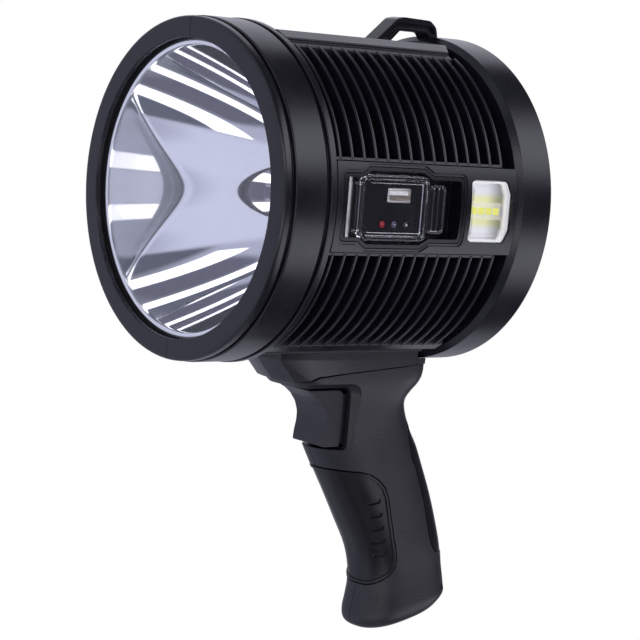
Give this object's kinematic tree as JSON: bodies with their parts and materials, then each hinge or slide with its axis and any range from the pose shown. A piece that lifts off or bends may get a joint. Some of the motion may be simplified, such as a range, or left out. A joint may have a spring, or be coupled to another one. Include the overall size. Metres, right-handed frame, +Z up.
{
  "type": "handheld camping spotlight",
  "caption": "Handheld spotlight with a finned round head, deep reflector, pistol grip with trigger, covered charging bay, side lamp and strap loop.",
  "frame": {"origin": "centre of the flat rear face of the head, on the beam axis", "axes": "+Z up, the beam leaves along -Y so +Y points out of the rear face, and +X is the side with the charging bay and the side lamp"},
  "size_m": [0.1668, 0.1877, 0.3189],
  "materials": {
    "housing_black": "satin",
    "grip_black": "fine texture",
    "trigger_black": "semi-gloss",
    "inner_black": "matt",
    "soft_insert": "matt",
    "seal_rubber": "matt",
    "clear_cover": "clear",
    "front_glass": "clear",
    "lamp_lens": "lightly frosted",
    "bright_coating": "polished",
    "white_plastic": "satin",
    "sink_metal": "satin",
    "circuit_green": "satin",
    "circuit_dark": "satin",
    "phosphor": "satin",
    "cell_wrap": "gloss",
    "plated_steel": "bright",
    "red_light": "gloss",
    "grey_light": "gloss"
  },
  "bodies": {
    "housing": {"barrel_left": "housing_black", "barrel_right": "housing_black", "rear_cap": "housing_black", "side_plate_left": "housing_black", "side_plate_right": "housing_black", "strap_loop": "housing_black", "saddle_left": "housing_black", "saddle_right": "housing_black", "grip_left": "grip_black", "grip_right": "grip_black", "cell_carrier": "inner_black", "bay_tub": "inner_black", "trigger_switch": "inner_black", "grip_front_pad": "soft_insert", "grip_rear_pad": "soft_insert", "rear_cap_seal": "seal_rubber", "lens_seal": "seal_rubber", "front_lens": "front_glass", "side_lens": "lamp_lens", "reflector": "bright_coating", "usb_tongue": "white_plastic", "side_lamp_tray": "white_plastic", "side_lamp_board": "white_plastic", "heat_sink": "sink_metal", "led_board": "sink_metal", "driver_board": "circuit_green", "bay_board": "circuit_dark", "led_emitter": "phosphor", "side_led_1": "phosphor", "side_led_2": "phosphor", "side_led_3": "phosphor", "side_led_4": "phosphor", "cell_1": "cell_wrap", "cell_2": "cell_wrap", "cell_3": "cell_wrap", "cell_4": "cell_wrap", "usb_shell": "plated_steel", "cover_hinge_pin": "plated_steel", "trigger_spring": "plated_steel", "rear_cap_screw_1": "plated_steel", "rear_cap_screw_2": "plated_steel", "rear_cap_screw_3": "plated_steel", "rear_cap_screw_4": "plated_steel", "grip_screw_1": "plated_steel", "grip_screw_2": "plated_steel", "grip_screw_3": "plated_steel", "grip_screw_4": "plated_steel", "saddle_screw_1": "plated_steel", "saddle_screw_2": "plated_steel", "saddle_screw_3": "plated_steel", "saddle_screw_4": "plated_steel", "indicator_1": "red_light", "indicator_2": "grey_light", "indicator_3": "grey_light"},
    "cover": {"port_cover": "clear_cover"},
    "trigger": {"trigger": "trigger_black"},
    "plunger": {"switch_plunger": "white_plastic"}
  },
  "joints": [
    {"name": "cover_hinge", "type": "hinge", "parent": "housing", "child": "cover", "pos_m": [0.08, -0.12788, 0], "axis": [0, 0, -1], "range_deg": [0, 90]},
    {"name": "trigger_slide", "type": "slide", "parent": "housing", "child": "trigger", "axis": [0, 1, 0], "range_m": [0, 0.0035], "stiffness_N_per_m": 600, "springref_m": -0.002, "deforming": ["trigger_spring"]},
    {"name": "plunger_slide", "type": "slide", "parent": "housing", "child": "plunger", "axis": [0, 1, 0], "range_m": [0, 0.0035]}
  ],
  "couplings": [
    {"joint": "plunger_slide", "follows": "trigger_slide", "ratio": 1}
  ]
}
